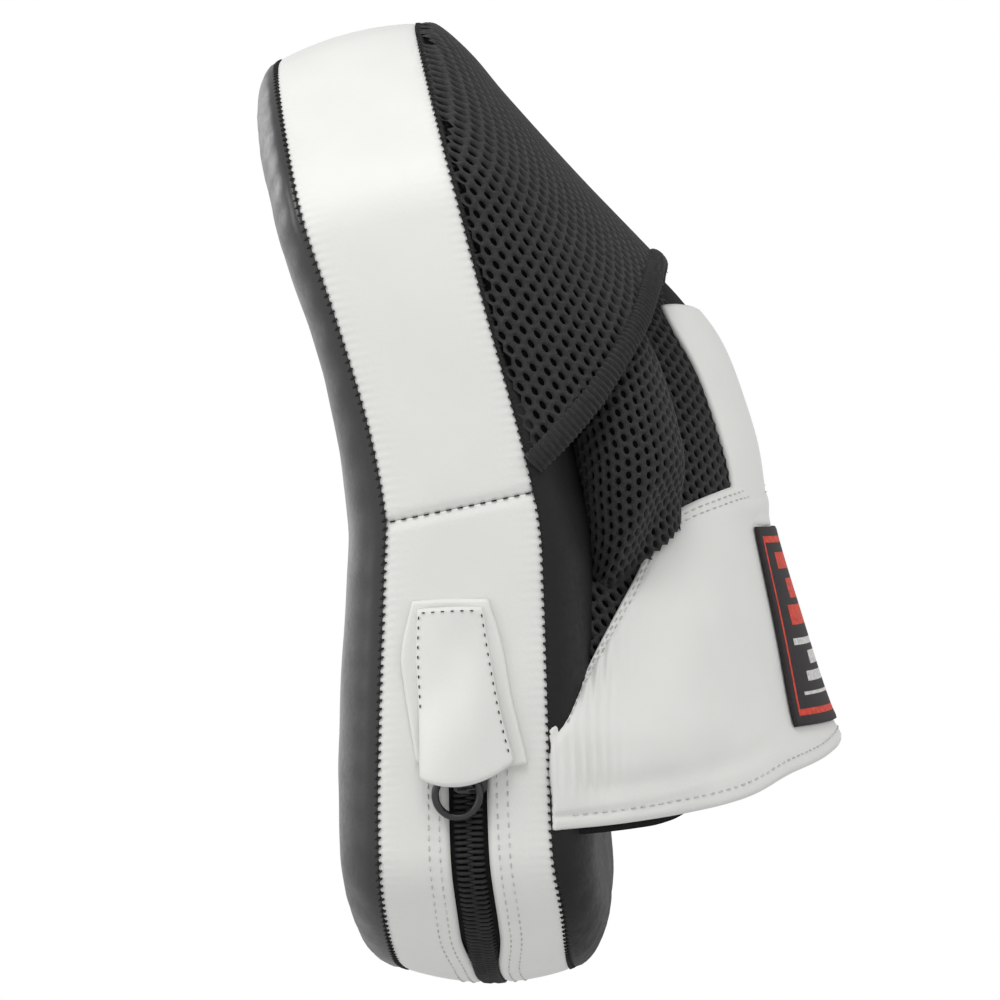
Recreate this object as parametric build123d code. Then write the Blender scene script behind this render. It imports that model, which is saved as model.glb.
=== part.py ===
from build123d import *
import math
import os

# Curved focus mitt (hook-and-jab pad) for the right hand, in millimetres.
# It is drawn upright from the pad's bottom edge: +Z runs up towards the fingertips, the striking
# face looks along -Y, the hand goes in behind it on the +Y side, and the zipper is on the +X side.
# save() then moves every piece so that the origin is the palm centre on the back cover.

# Pad profile, as (Y, Z) points at the front seam and at the rear seam: bottom, bend and top.
LEAN = 15.3
TOP_Z = 300.0
FRONT_BEND = (-26.6, 137.7)
REAR_BEND = (14.7, 129.9)
FRONT_BOTTOM = (-27.4, -20.0)
REAR_BOTTOM = (19.6, -20.0)
BEND_RADIUS = 100.0

# Pad outline seen from the front.
LOW_HALF_WIDTH = 89.0
HIGH_HALF_WIDTH = 94.0
WIDEN_FROM = 112.0
WIDEN_TO = 200.0
BOTTOM_CORNER = 38.0
TOP_CORNER = 54.0
UPPER_LEG_LENGTH = 137.0

# Skins, foams and crowns.
LEATHER = 1.5
FRONT_CROWN = 12.5
REAR_CROWN = 12.0
GEL_THICKNESS = 5.0
FOAM_INSET = 4.5

# Zipper, along the +X side and round the bottom.
ZIP_Y = -3.8
ZIP_GAP = 9.6
ZIP_TOP = 98.0
ZIP_END_X = -45.0
TAPE_THICKNESS = 0.6
TAPE_WIDTH = 12.0
COIL_WIDTH = 2.6
HALF_SLIT = 0.55
SLIDER_Z = 64.0
SLIDER_LENGTH = 12.0
PLATE = 1.0
BAIL_WIDTH = 1.4
BAIL_CLEAR = 3.5
RING_WIRE = 1.9
RING_RADIUS = 5.55
RING_TILT = 35.0

# Garage over the zipper's top end: a sewn patch and the hollow tongue on it, as (Y, Z) outlines.
PATCH_OUTLINE = [(-17.5, 66), (-21.5, 84), (-18.4, 105), (0.6, 106), (5.0, 88), (9.5, 65)]
TONGUE_OUTLINE = [(-17.1, 62), (-17.9, 104), (-0.1, 105), (7.2, 66.5), (-4.5, 60.2)]
PATCH_THICKNESS = 1.0
TONGUE_CLEARANCE = 0.5
TONGUE_BEVEL = 3.0

# Glove on the back of the pad: height, half width and rearmost Y of each section.
GLOVE_SECTIONS = [
    (44, 86, 103), (76, 84, 91), (100, 72, 82), (126, 62, 73.2), (150, 56, 69.8),
    (173, 53, 61.7), (187, 50, 52), (200, 47, 37), (215, 42, 21), (228, 34, 6),
]
GLOVE_WALL = 2.0
CUFF_FOAM = 3.0
LINING_THICKNESS = 0.8
FINGERTIPS_FROM = 196.0
CUFF_UPPER_EDGE = [(12, 72), (18.4, 76.5), (36.7, 111), (45, 126.4), (59.4, 134), (80, 140)]
CUFF_LOWER_EDGE = [(110, 84), (93, 66), (77, 56.5), (63.6, 53), (37.6, 50.3), (12, 48)]
PANEL_EDGE = [(36, 200), (46, 180), (55, 163), (62, 142), (63, 130)]

# Woven label on the cuff: its half width and thickness, and its (Y, Z) outline seen from the side.
LABEL_HALF_WIDTH = 38.0
LABEL_THICKNESS = 0.7
LABEL_OUTLINE = [(66, 124), (81, 70.5), (110, 80), (110, 124)]

# Thumb sleeve: height, centre X, half width, centre Y and half depth of each section.
THUMB_SECTIONS = [(98, 56, 10, 36, 9), (118, 62, 17, 37, 13), (142, 64, 19, 35, 15),
                  (165, 62, 17, 30, 14), (182, 60, 12, 25, 11)]
THUMB_HOLE_INSET = 6.0

# Strap end that closes the cuff with hook-and-loop on the far side, and its layers outwards.
STRAP_ROOT_X = -42.0
STRAP_TIP_Y = 36.0
STRAP_LOW_Z = 62.0
STRAP_HIGH_Z = 112.0
TOUCH_TAPE = 0.8
STRAP_GAP = 0.4
TAPE_MARGIN = 4.0

# Finger hood: distance up the pad's upper leg, half width and height above the rear seam.
HOOD_SECTIONS = [(-6, 91, 76), (30, 92, 60), (56, 93, 47.5), (84, 91, 31.5), (110, 82, 18.5), (126, 68, 13.0)]
HOOD_WALL = 1.6
HOOD_EDGE = [(3.0, 121.0), (46.5, 196.8)]
BINDING_WIDTH = 6.5
BINDING_SWELL = 0.8

# Low grip pad under the palm, as the half sizes of its dome.
GRIP_HALF_SIZES = (30.0, 12.6, 24.0)

# Palm centre on the back cover: the origin of the finished part.
PALM = (0.0, 27.5, 128.0)

# Half sizes of blocks and prisms that have to reach past the whole pad, and the side band's cross seam.
PAST_X = 150.0
PAST_Y = 200.0
CROSS_SEAM = [(-80, 126), (60, 131)]


def leg(angle):
    """Unit (Y, Z) direction that leans forward from upright by an angle in degrees."""
    return (-math.sin(math.radians(angle)), math.cos(math.radians(angle)))


def bent_line(bottom, bend, shift):
    """Corners of a profile line of two straight legs, moved towards +Y by shift."""
    rise = (TOP_Z - bend[1]) / leg(LEAN)[1]
    top = (bend[0] + rise * leg(LEAN)[0], TOP_Z)
    low_angle = math.degrees(math.atan2(bottom[0] - bend[0], bend[1] - bottom[1]))
    low = (leg(low_angle)[1], -leg(low_angle)[0])
    high = (leg(LEAN)[1], -leg(LEAN)[0])
    mitre = 1 + low[0] * high[0] + low[1] * high[1]
    return [
        (bottom[0] + shift * low[0], bottom[1] + shift * low[1]),
        (bend[0] + shift * (low[0] + high[0]) / mitre, bend[1] + shift * (low[1] + high[1]) / mitre),
        (top[0] + shift * high[0], top[1] + shift * high[1]),
    ]


def slab(front, rear):
    """Full-width slab between two profile lines, each as (bottom, bend, shift towards +Y)."""
    front_points = bent_line(*front)
    rear_points = bent_line(*rear)
    front_edge = FilletPolyline(*front_points, radius=BEND_RADIUS)
    rear_edge = FilletPolyline(*rear_points, radius=BEND_RADIUS)
    ends = [Line(front_points[0], rear_points[0]), Line(front_points[-1], rear_points[-1])]
    profile = make_face([front_edge.edges(), rear_edge.edges(), *[end.edges() for end in ends]])
    return extrude(Plane.YZ * profile, amount=PAST_X, both=True)


def side_outline(inset):
    """Prism along Y whose section is the pad's sides and its rounded bottom corners."""
    low = LOW_HALF_WIDTH - inset
    high = HIGH_HALF_WIDTH - inset
    right = [(low, inset), (low, WIDEN_FROM), (high, WIDEN_TO), (high, TOP_Z)]
    left = [(-x, z) for x, z in reversed(right)]
    radii = [BOTTOM_CORNER - inset, 150, 150, 5]
    outline = FilletPolyline(*right, *left, radius=radii + radii[::-1], close=True)
    return extrude(Plane.XZ * make_face(outline.edges()), amount=PAST_Y, both=True)


def top_outline(inset):
    """Prism square to the upper leg whose section has the pad's rounded top corners."""
    side, z_dir = leg(LEAN)
    plane = Plane(origin=(0, *REAR_BEND), x_dir=(1, 0, 0), z_dir=(0, -z_dir, side))
    half = HIGH_HALF_WIDTH - inset
    top = UPPER_LEG_LENGTH - inset
    corner = TOP_CORNER - inset
    outline = FilletPolyline(
        (half, -250), (half, top), (-half, top), (-half, -250), radius=[5, corner, corner, 5], close=True
    )
    return extrude(plane * make_face(outline.edges()), amount=PAST_Y, both=True)


OUTLINES = {}


def outline(inset):
    """The pad's outline moved inwards, made once for each inset."""
    if inset not in OUTLINES:
        OUTLINES[inset] = side_outline(inset) & top_outline(inset)
    return OUTLINES[inset]


def front_line(shift):
    return (FRONT_BOTTOM, FRONT_BEND, shift)


def rear_line(shift):
    return (REAR_BOTTOM, REAR_BEND, shift)


def crown(line, height, inset):
    """Padded side of the pad: a slab of the given height, positive to the rear, with a rounded rim."""
    near, far = (line(0), line(height)) if height > 0 else (line(height), line(0))
    body = slab(near, far) & outline(inset)
    face_line = bent_line(*line(height))
    rim = [edge for edge in body.edges() if on_rim(edge, face_line)]
    return fillet(rim, abs(height) - 1.0)


def on_rim(edge, face_line):
    """True for an edge of the crown's outer face, except the two lines where its bend begins."""
    if any(distance_to(point, face_line) > 2.5 for point in (edge @ 0, edge @ 1)):
        return False
    across = abs((edge @ 0).Y - (edge @ 1).Y) < 0.01 and abs((edge @ 0).Z - (edge @ 1).Z) < 0.01
    return not (across and 60 < (edge @ 0).Z < 210)


def distance_to(point, line):
    """Distance in the YZ plane from a point to a line of two legs."""
    return min(
        leg_distance((point.Y, point.Z), line[0], line[1]),
        leg_distance((point.Y, point.Z), line[1], line[2]),
    )


def leg_distance(point, start, end):
    run = (end[0] - start[0], end[1] - start[1])
    length = math.hypot(*run)
    along = ((point[0] - start[0]) * run[0] + (point[1] - start[1]) * run[1]) / length
    along = min(max(along, 0), length)
    nearest = (start[0] + along * run[0] / length, start[1] + along * run[1] / length)
    return math.hypot(point[0] - nearest[0], point[1] - nearest[1])


def side_region(points):
    """Prism along X over a polygon of (Y, Z) points."""
    return extrude(Plane.YZ * make_face(Polyline(*points, close=True).edges()), amount=PAST_X, both=True)


def wall(outer_inset, inner_inset):
    """Strip that follows the pad's outline between two insets, before it is cut to its width in Y."""
    return outline(outer_inset) - outline(inner_inset)


def block(x, y, z):
    """Box between two limits along each axis."""
    size = [limits[1] - limits[0] for limits in (x, y, z)]
    centre = [(limits[1] + limits[0]) / 2 for limits in (x, y, z)]
    return Pos(*centre) * Box(*size)


def zip_run(y_from, y_to):
    """The stretch of the outline that the zipper follows, between two Y limits."""
    side = block((0, 120), (y_from, y_to), (-5, ZIP_TOP))
    bottom = block((ZIP_END_X, 1), (y_from, y_to), (-5, 30))
    return side + bottom


def pad_pieces():
    """Covers and the layers of foam between them."""
    front_skin = crown(front_line, -FRONT_CROWN, 0)
    front_fill = crown(front_line, -(FRONT_CROWN - LEATHER), LEATHER)
    rear_skin = crown(rear_line, REAR_CROWN, 0)
    rear_fill = crown(rear_line, REAR_CROWN - LEATHER, LEATHER)
    behind_gel = slab(front_line(-(FRONT_CROWN - LEATHER - GEL_THICKNESS)), front_line(60))
    core = slab(front_line(0), rear_line(0)) & outline(FOAM_INSET)
    pieces = {
        "front_cover": front_skin - front_fill,
        "gel_layer": front_fill - behind_gel,
        "strike_foam": front_fill & behind_gel,
        "core_foam": core,
        "back_foam": rear_fill,
        "back_cover": rear_skin - rear_fill,
    }
    return pieces, rear_skin


def gusset_pieces():
    """White side band: one piece over the top, and strips beside the zipper."""
    band = wall(0, LEATHER) & slab(front_line(0), rear_line(0))
    lower = side_region([(-80, -20), (60, -20), *reversed(CROSS_SEAM)])
    upper_band = band - lower
    lower_band = band & lower
    far = block((-120, ZIP_END_X), (-80, 80), (-20, 140))
    near_band = lower_band - far
    gap = zip_run(ZIP_Y - ZIP_GAP / 2, ZIP_Y + ZIP_GAP / 2)
    in_front = block((-120, 120), (-80, ZIP_Y), (-20, 140))
    strips = near_band - gap
    return {
        "gusset_upper": upper_band,
        "gusset_lower_far": lower_band & far,
        "gusset_lower_front": strips & in_front,
        "gusset_lower_rear": strips - in_front,
    }


def zipper_pieces():
    """Fabric tapes and closed coil halves, with a slit for the slider's post, and the end stop."""
    tape = wall(LEATHER, LEATHER + TAPE_THICKNESS)
    coil = wall(0.2, LEATHER)
    pieces = {}
    for name, side in (("front", -1), ("rear", 1)):
        near = ZIP_Y + side * HALF_SLIT
        tape_far = near + side * TAPE_WIDTH
        coil_far = near + side * COIL_WIDTH
        pieces[f"zip_tape_{name}"] = tape & zip_run(min(near, tape_far), max(near, tape_far))
        pieces[f"zip_coil_{name}"] = coil & zip_run(min(near, coil_far), max(near, coil_far))
    stop_y = (ZIP_Y - ZIP_GAP / 2 + 0.4, ZIP_Y + ZIP_GAP / 2 - 0.4)
    pieces["zip_end_stop"] = block((ZIP_END_X + 4, ZIP_END_X + 7), stop_y, (-0.4, 0.15))
    return pieces


def slider_pieces():
    """Slider shoe with a thin post between its plates, and the bail over it."""
    x = LOW_HALF_WIDTH
    z = (SLIDER_Z - SLIDER_LENGTH / 2, SLIDER_Z + SLIDER_LENGTH / 2)
    # Upper plate with a flange down each side, the post between the coil halves, and the lower plate.
    shoe = block((x + 0.3, x + 0.3 + PLATE), (ZIP_Y - 4.2, ZIP_Y + 4.2), z)
    shoe = fillet(shoe.edges().filter_by(Axis.X), 1.6)
    for side in (-1, 1):
        flange_y = sorted((ZIP_Y + side * 3.6, ZIP_Y + side * 4.2))
        shoe += block((x - 1.1, x + 0.4), flange_y, (z[0] + 1.7, z[1] - 1.7))
    shoe += block((x - 2.6, x + 0.4), (ZIP_Y - 0.35, ZIP_Y + 0.35), (SLIDER_Z, SLIDER_Z + 4))
    shoe += block((x - 3.6, x - 2.5), (ZIP_Y - 3.8, ZIP_Y + 3.8), (z[0] + 0.5, z[1] - 0.5))
    base = x + 0.3 + PLATE
    y = (ZIP_Y - BAIL_WIDTH / 2, ZIP_Y + BAIL_WIDTH / 2)
    bail = block((base, base + BAIL_CLEAR + 0.9), y, (SLIDER_Z - 4.6, SLIDER_Z + 4.6))
    bail = fillet(bail.edges().filter_by(Axis.Y).group_by(Axis.X)[-1], 1.8)
    bail -= block((base - 1, base + BAIL_CLEAR), (y[0] - 1, y[1] + 1), (SLIDER_Z - 3.7, SLIDER_Z + 3.7))
    return {"slider_body": shoe, "slider_bail": bail}


def ring_pivot():
    """Centre of the ring's wire where it passes under the bail."""
    return (LOW_HALF_WIDTH + 0.3 + PLATE + BAIL_CLEAR / 2, ZIP_Y, SLIDER_Z - 3.7 + 2.0)


def pull_ring():
    """Round wire ring that lies along the side of the pad, hung through the bail."""
    x, y, z = ring_pivot()
    tilt = math.radians(RING_TILT)
    centre = (x, y - RING_RADIUS * math.sin(tilt), z - RING_RADIUS * math.cos(tilt))
    return Pos(*centre) * Rot(0, 90, 0) * Torus(RING_RADIUS, RING_WIRE / 2)


def garage_pieces():
    """Patch sewn over the zipper's top end, and the tongue over it that hides the slider."""
    x = LOW_HALF_WIDTH
    plane = Plane(origin=(x, 0, 0), x_dir=(0, 1, 0), z_dir=(1, 0, 0))
    patch_face, tongue_face = [
        plane * make_face(Polyline(*points, close=True).edges()) for points in (PATCH_OUTLINE, TONGUE_OUTLINE)
    ]
    patch = extrude(patch_face, amount=PATCH_THICKNESS)
    slider_slot = block((x - 1, x + 3), (ZIP_Y - 5.2, ZIP_Y + 5.2), (40, SLIDER_Z + 10))
    height = 0.3 + PLATE + BAIL_CLEAR + 0.9 + TONGUE_CLEARANCE
    tongue = extrude(tongue_face, amount=height + LEATHER)
    tongue = chamfer(tongue.edges().group_by(Axis.X)[-1].sort_by(Axis.Z)[2:], TONGUE_BEVEL)
    pocket = block((x - 1, x + height), (ZIP_Y - 9.5, ZIP_Y + 7.0), (40, SLIDER_Z + 12))
    return {"garage_patch": patch - slider_slot, "garage_tongue": tongue - pocket - patch}


def arch(plane, half_width, height):
    """Half an ellipse closed by its straight base, on the given plane."""
    curve = EllipticalCenterArc((0, 0), half_width, height, start_angle=0, arc_size=180)
    return plane * make_face([*curve.edges(), *Line((-half_width, 0), (half_width, 0)).edges()])


def rear_y(z):
    """Y of the rear seam at a height, with the bend left sharp."""
    (low_y, low_z), (bend_y, bend_z) = REAR_BOTTOM, REAR_BEND
    if z < bend_z:
        return bend_y + (low_y - bend_y) * (bend_z - z) / (bend_z - low_z)
    return bend_y + leg(LEAN)[0] / leg(LEAN)[1] * (z - bend_z)


def glove_volume(inset):
    """Space inside the glove's outer surface, moved inwards by inset."""
    faces = []
    for z, half_width, rearmost in GLOVE_SECTIONS:
        plane = Plane(origin=(0, rear_y(z), z), x_dir=(1, 0, 0), z_dir=(0, 0, 1))
        faces.append(arch(plane, half_width - inset, rearmost - rear_y(z) - inset))
    volume = loft(faces, ruled=True)
    if inset > 0:
        volume &= block((-120, 120), (-60, 120), (-20, GLOVE_SECTIONS[-1][0] - GLOVE_WALL))
    return volume


def thumb_volume(inset):
    """Space inside the thumb sleeve's outer surface, moved inwards by inset."""
    faces = []
    for z, x, half_width, y, half_depth in THUMB_SECTIONS:
        plane = Plane(origin=(x, y, z), x_dir=(1, 0, 0), z_dir=(0, 0, 1))
        faces.append(plane * Ellipse(half_width - inset, half_depth - inset))
    volume = loft(faces)
    if inset > 0:
        volume &= block((-120, 120), (-60, 120), (-20, THUMB_SECTIONS[-1][0] - GLOVE_WALL))
    return volume


def hood_volume(inset):
    """Space under the finger hood's outer surface, moved inwards by inset."""
    side, up = leg(LEAN)
    faces = []
    for distance, half_width, height in HOOD_SECTIONS:
        origin = (0, REAR_BEND[0] + distance * side, REAR_BEND[1] + distance * up)
        plane = Plane(origin=origin, x_dir=(1, 0, 0), z_dir=(0, side, up))
        faces.append(arch(plane, half_width - inset, height - inset))
    return loft(faces, ruled=True)


def hood_side(shift):
    """Half space above the hood's opening edge, which is a plane square to the sides, moved up by shift."""
    (y_low, z_low), (y_high, z_high) = HOOD_EDGE
    run = math.hypot(y_high - y_low, z_high - z_low)
    step = (-(z_high - z_low) / run * shift, (y_high - y_low) / run * shift)
    slope = (z_high - z_low) / (y_high - y_low)
    low = (y_low - 60 + step[0], z_low - 60 * slope + step[1])
    high = (y_high + 60 + step[0], z_high + 60 * slope + step[1])
    return side_region([low, high, (-300, high[1]), (-300, low[1])])


def hood_pieces():
    """Air-mesh hood over the fingers, and the overlocked binding on its edge."""
    outer = hood_volume(0)
    inner = hood_volume(HOOD_WALL)
    swollen = hood_volume(-BINDING_SWELL)
    trimmed = (outer - inner) & hood_side(BINDING_WIDTH)
    band = (swollen - hood_volume(HOOD_WALL + BINDING_SWELL)) & (hood_side(0) - hood_side(BINDING_WIDTH))
    clear = slab(front_line(0), rear_line(REAR_CROWN))
    return {"finger_hood": biggest(trimmed - clear), "hood_binding": biggest(band - clear)}


def biggest(shape):
    """The largest solid of a shape, without the crumbs that a cut leaves at its edges."""
    return max(shape.solids(), key=lambda solid: solid.volume)


def glove_pieces(rear_skin):
    """Hand compartment: mesh sides, thumb sleeve, white hand-back panel, layered cuff and its label."""
    solid_pad = rear_skin + (slab(front_line(0), rear_line(0)) & outline(0))
    outer = glove_volume(0)
    skin = outer - glove_volume(GLOVE_WALL)
    above_cuff = [(-150, 72), *CUFF_UPPER_EDGE, (150, 150), (150, 400), (-150, 400)]
    upper = side_region(above_cuff)
    cuff_area = side_region([*CUFF_UPPER_EDGE, (150, 150), *CUFF_LOWER_EDGE])
    panel_area = side_region([*PANEL_EDGE, (150, 130), (150, 200)])
    sleeve = thumb_volume(0) - thumb_volume(GLOVE_WALL) - outer - solid_pad
    mesh = (skin & upper) - panel_area - thumb_volume(THUMB_HOLE_INSET) - solid_pad
    fingertips = block((-120, 120), (-60, 120), (FINGERTIPS_FROM, 240))
    near = block((0, 120), (-60, 120), (0, 240))
    inner_cuff = GLOVE_WALL + CUFF_FOAM
    cuff_gap = glove_volume(GLOVE_WALL) - glove_volume(inner_cuff)
    lining = glove_volume(inner_cuff) - glove_volume(inner_cuff + LINING_THICKNESS)
    label_width = block((-LABEL_HALF_WIDTH, LABEL_HALF_WIDTH), (50, 120), (60, 130))
    label = (glove_volume(-LABEL_THICKNESS) - outer) & side_region(LABEL_OUTLINE) & label_width
    return {
        "mesh_thumb_side": biggest((mesh - fingertips) & near),
        "mesh_far_side": biggest((mesh - fingertips) - near),
        "fingertip_pocket": biggest(mesh & fingertips),
        "thumb_sleeve": biggest(sleeve),
        "hand_back_panel": biggest((skin & upper & panel_area) - hood_side(0) - solid_pad),
        "hand_back_foam": biggest((cuff_gap & upper & panel_area) - hood_side(0) - solid_pad),
        "cuff_panel": biggest((skin & cuff_area) - solid_pad),
        "cuff_foam": biggest((cuff_gap & cuff_area) - solid_pad),
        "cuff_lining": biggest((lining & cuff_area) - solid_pad),
        "label_patch": biggest(label),
    }


def shell_patch(low, high, margin):
    """Strap-shaped patch of a shell outside the glove, between two heights, with its rim moved in by margin."""
    strap_height = (STRAP_LOW_Z + margin, STRAP_HIGH_Z - margin)
    area = block((-130, STRAP_ROOT_X - 2 * margin), (STRAP_TIP_Y + margin, 130), strap_height)
    return biggest((glove_volume(-high) - glove_volume(-low)) & area)


def strap_pieces():
    """Free strap end on the far side, with hook tape under it and loop tape on the cuff below."""
    hook_low = TOUCH_TAPE + STRAP_GAP
    hook_high = hook_low + TOUCH_TAPE
    return {
        "loop_tape": shell_patch(0, TOUCH_TAPE, TAPE_MARGIN),
        "hook_tape": shell_patch(hook_low, hook_high, TAPE_MARGIN),
        "strap_end": shell_patch(hook_high, hook_high + LEATHER, 0),
    }


def palm_grip(rear_skin):
    """Low rounded pad under the palm, sewn to the back cover."""
    dome = Pos(0, PALM[1] - 4, PALM[2]) * scale(Sphere(1), by=GRIP_HALF_SIZES)
    return dome - rear_skin - slab(front_line(0), rear_line(0))


def save(pieces):
    """Moves each piece so that the palm centre is the origin, and writes it to its own file."""
    os.makedirs("parts", exist_ok=True)
    for name, shape in pieces.items():
        moved = Pos(*[-value for value in PALM]) * shape
        export_step(Compound(children=list(moved.solids())), f"parts/{name}.step")


def build():
    pieces, rear_skin = pad_pieces()
    pieces |= gusset_pieces()
    pieces |= zipper_pieces()
    pieces |= slider_pieces()
    pieces["pull_ring"] = pull_ring()
    pieces |= garage_pieces()
    pieces |= hood_pieces()
    pieces |= glove_pieces(rear_skin)
    pieces |= strap_pieces()
    pieces["palm_grip"] = palm_grip(rear_skin)
    return pieces


save(build())
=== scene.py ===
import math

import bmesh
import bpy
import numpy as np
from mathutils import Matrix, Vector, noise


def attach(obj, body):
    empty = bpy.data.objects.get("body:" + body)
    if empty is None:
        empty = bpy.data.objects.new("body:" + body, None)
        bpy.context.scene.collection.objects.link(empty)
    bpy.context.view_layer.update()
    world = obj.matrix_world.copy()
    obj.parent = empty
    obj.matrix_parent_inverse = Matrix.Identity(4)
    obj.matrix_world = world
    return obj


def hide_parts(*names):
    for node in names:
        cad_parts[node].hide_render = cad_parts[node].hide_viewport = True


# Curved focus mitt around its CAD frame. All sizes are millimetres in the pad's own axes: Z = 0 at the
# pad's bottom edge, the striking face looks along -Y, the zipper is on the +X side. place() turns
# them into metres in the row frame, whose origin is the palm centre.

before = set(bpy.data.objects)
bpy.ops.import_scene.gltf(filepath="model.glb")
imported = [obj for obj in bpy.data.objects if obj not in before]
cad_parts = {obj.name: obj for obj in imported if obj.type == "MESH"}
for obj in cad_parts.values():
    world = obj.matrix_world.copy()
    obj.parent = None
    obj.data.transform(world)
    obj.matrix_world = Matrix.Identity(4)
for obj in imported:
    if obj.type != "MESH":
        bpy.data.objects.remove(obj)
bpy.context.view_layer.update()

PALM = np.array([0.0, 27.5, 128.0])
MIDDLE = (0.0, 0.0, 131.0)

# Seams between the white side band and the two covers, as (Y, Z) from the bottom up.
FRONT_SEAM = [(-23.5, 0), (-26.5, 22), (-27.7, 50), (-27.3, 80), (-26.2, 112), (-26.0, 127), (-30.0, 149),
              (-38.0, 176), (-45.8, 199), (-51.4, 220), (-59.6, 251.8)]
REAR_SEAM = [(21.0, 0), (19.8, 25), (17.3, 44), (16.2, 75), (15.2, 106), (14.0, 126), (9.8, 146),
             (0.3, 181), (-7.4, 211), (-21.5, 262)]
STATIONS = 262.0
LOW_HALF, HIGH_HALF = 89.0, 94.0
LOW_CORNER, HIGH_CORNER = 38.0, 54.0
BAND_STEPS = 22
SEAM_PITCH = 2.2

# Crowns of the covers: height and width of the rounded rim, and how much higher the middle is.
FRONT_CROWN, FRONT_RIM, FRONT_DOME = 6.5, 17.0, 5.6
REAR_CROWN, REAR_RIM, REAR_DOME = 9.6, 22.0, 3.0
SPINE = (72.0, 188.0)

# Cross seam of the band, zipper and its opening.
CROSS_FRONT, CROSS_REAR = 128.5, 131.5
ZIP_W = 0.525
ZIP_TOP = 98.0
ZIP_END_X = -45.0
TOOTH_PITCH = 1.5
LEATHER = 1.5
# Nominal widths of the side band, which turn millimetres across it into w: at the zipper, at the seams
# of the covers, and for the puckers beside those seams.
ZIP_BAND, SEAM_BAND, PUCKER_BAND = 43.5, 43.0, 42.0

# Glove: height, half width, rearmost Y and the roundness of the section.
GLOVE = [(44, 86, 104, 1.5), (66, 85, 93.0, 1.55), (76, 84, 87.8, 1.6), (100, 72, 80.0, 2.0),
         (126, 62, 72.4, 2.3), (150, 56, 68.4, 2.3), (173, 53, 59.6, 2.2), (187, 50, 50, 2.1),
         (200, 47, 37, 2), (215, 42, 21, 2), (228, 34, 6, 2)]
# Edges of the cuff and of the white hand-back panel, as (Y, Z).
CUFF_UPPER = [(10, 71.5), (18.4, 76.5), (27, 93), (36.7, 111), (45, 126.4), (59.4, 134), (80, 140)]
CUFF_LOWER = [(10, 48), (37.6, 50.3), (63.6, 54.5), (77, 60.0), (93, 66.5), (112, 86)]
PANEL_EDGE = [(34, 204), (46, 180), (55, 163), (62, 142), (64, 128)]
PANEL_TOP = 183.5
# Thumb sleeve: height, x of its middle, half width, Y of its middle and depth of the section.
THUMB = [(92, 49, 11, 35, 10), (106, 52, 14, 36, 12), (122, 58, 17, 37, 13.5), (142, 63, 19, 35.5, 14.5),
         (165, 62, 17, 30, 14), (184, 59, 12, 24, 11)]
THUMB_MIDDLE = (62.0, 35.0, 142.0)

# Upper leg of the pad: its length from the rear bend, and the direction out of its back, as (Y, Z).
UPPER_LEG = 137.0
OUT = np.array([0.9646, 0.2639])
# Finger hood: distance up the upper leg and ridge height above the rear seam, then its opening as (Z, Y).
HOOD = [(-12, 79), (10, 69), (30, 60), (56, 47), (84, 31), (110, 17.6), (123, 11.6), (133.5, 5), (137.6, 0.6)]
HOOD_EDGE = [(132, 7), (140.2, 14.9), (148, 22.6), (157.5, 30.5), (165.8, 35.8), (174, 40.3), (181.7, 43.2),
             (196.8, 46.5), (212, 48)]
BINDING = 6.0


# ---- geometry helpers

def place(points):
    """Metres in the row frame from millimetres in the pad's axes."""
    return (np.asarray(points, float) - PALM) / 1000


def unit(vectors):
    return vectors / np.maximum(np.linalg.norm(vectors, axis=-1, keepdims=True), 1e-9)


def fade(value, start, end):
    """Smooth step from 0 at start to 1 at end."""
    share = np.clip((np.asarray(value, float) - start) / (end - start), 0, 1)
    return share * share * (3 - 2 * share)


def run_along(line):
    """Distance of each point of a polyline from its first one."""
    return np.concatenate([[0], np.cumsum(np.linalg.norm(np.diff(line, axis=0), axis=-1))])


def read_at(distance, along, table):
    """A table's rows read at a distance, with its columns on a new last axis."""
    return np.stack([np.interp(distance, along, column) for column in table.T], axis=-1)


class Curve:
    """Smooth line through points, read by the distance along it."""

    def __init__(self, points, samples=30):
        points = np.asarray(points, float)
        ends = np.vstack([2 * points[0] - points[1], points, 2 * points[-1] - points[-2]])
        u = np.linspace(0, 1, samples, endpoint=False)[:, None]
        parts = []
        for a, b, c, d in zip(ends, ends[1:], ends[2:], ends[3:]):
            parts.append(0.5 * (2 * b + (c - a) * u + (2 * a - 5 * b + 4 * c - d) * u**2
                                + (3 * b - a - 3 * c + d) * u**3))
        self.line = np.vstack([*parts, points[-1:]])
        self.along = run_along(self.line)
        self.length = self.along[-1]

    def at(self, distance):
        return read_at(distance, self.along, self.line)

    def by_first(self, value, column):
        """Another column at a value of the first one, which rises along the line."""
        return np.interp(value, self.line[:, 0], self.line[:, column])


FRONT = Curve(FRONT_SEAM)
REAR = Curve(REAR_SEAM)


def seam(curve, t):
    return curve.at(np.asarray(t) / STATIONS * curve.length)


def pad_axes(t):
    """Unit directions at a station: up the pad and out of its back, as (Y, Z)."""
    t = np.asarray(t, float)
    ahead, behind = np.minimum(t + 2, STATIONS), np.maximum(t - 2, 0)
    up = unit(seam(FRONT, ahead) + seam(REAR, ahead) - seam(FRONT, behind) - seam(REAR, behind))
    return up, np.stack([up[..., 1], -up[..., 0]], axis=-1)


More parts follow.
